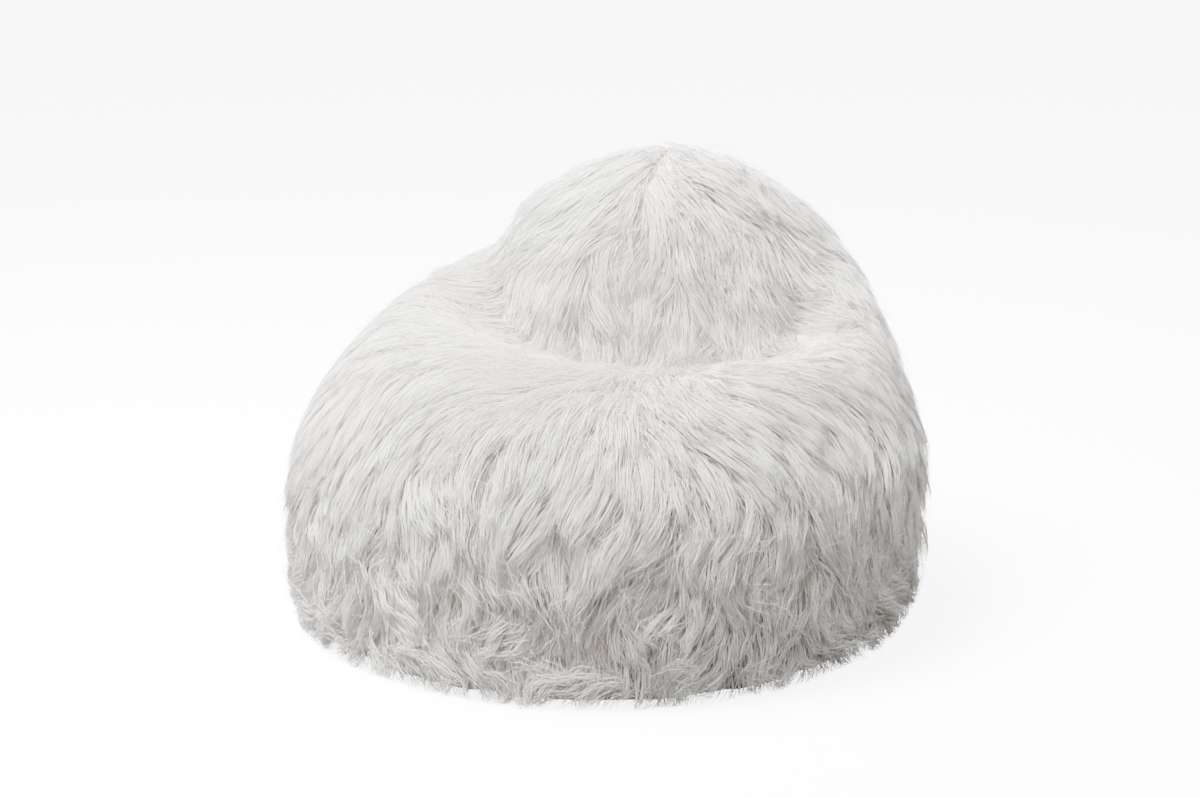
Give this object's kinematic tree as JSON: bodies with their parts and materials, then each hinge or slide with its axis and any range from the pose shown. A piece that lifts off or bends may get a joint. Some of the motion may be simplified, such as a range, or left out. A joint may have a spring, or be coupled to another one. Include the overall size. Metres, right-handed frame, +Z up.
{
  "type": "bean bag chair",
  "caption": "Low round bean bag chair with a raised back and one higher arm, covered in long white wool, with a zipped leather base and a zipped inner bag of beads.",
  "frame": {"origin": "centre of the round base, on the floor, on the face of the front base panel", "axes": "+Z up; -Y towards the front of the seat, where the sitter's legs go; +X to the chair's right as seen from the front, along the cover's zip"},
  "size_m": [0.9507, 0.9187, 0.658],
  "materials": {
    "wool": "long silky white wool in locks, faintly pink-beige at its roots",
    "base_leather": "undyed suede side of a hide, matt, with a turned hem",
    "welt_leather": "smooth leather piping",
    "zip_tape": "off-white woven tape",
    "zip_coil": "off-white nylon coil",
    "zip_metal": "satin nickel plate",
    "liner_cloth": "plain-woven white cotton",
    "beads": "expanded polystyrene beads"
  },
  "bodies": {
    "bag": {"pelt_front": "wool", "pelt_front_right": "wool", "pelt_back_right": "wool", "pelt_back": "wool", "pelt_back_left": "wool", "pelt_front_left": "wool", "pelt_crown": "wool", "base_panel_front": "base_leather", "base_panel_rear": "base_leather", "base_end_tab_left": "base_leather", "base_end_tab_right": "base_leather", "base_welt": "welt_leather", "zip_tape_front": "zip_tape", "zip_tape_rear": "zip_tape", "zip_coil_front": "zip_coil", "zip_coil_rear": "zip_coil", "zip_top_stops": "zip_metal", "zip_bottom_stop": "zip_metal", "liner_panel_right": "liner_cloth", "liner_panel_back": "liner_cloth", "liner_panel_left": "liner_cloth", "liner_panel_front": "liner_cloth", "liner_crown": "liner_cloth", "liner_base": "liner_cloth", "liner_zip_tape_front": "zip_tape", "liner_zip_tape_rear": "zip_tape", "liner_zip_coil_front": "zip_coil", "liner_zip_coil_rear": "zip_coil", "liner_zip_stops": "zip_metal", "bead_fill": "beads"},
    "slider": {"zip_slider": "zip_metal"},
    "pull": {"zip_pull": "zip_metal"},
    "liner_slider": {"liner_zip_slider": "zip_metal"}
  },
  "joints": [
    {"name": "zip_slider_slide", "type": "slide", "parent": "bag", "child": "slider", "axis": [-1, 0, 0], "range_m": [0, 0.56]},
    {"name": "zip_pull_swing", "type": "hinge", "parent": "slider", "child": "pull", "pos_m": [0.28064, 0.13, 0.0063], "axis": [0, -1, 0], "range_deg": [-8, 160]},
    {"name": "liner_slider_slide", "type": "slide", "parent": "bag", "child": "liner_slider", "axis": [-1, 0, 0], "range_m": [0, 0.564]}
  ]
}
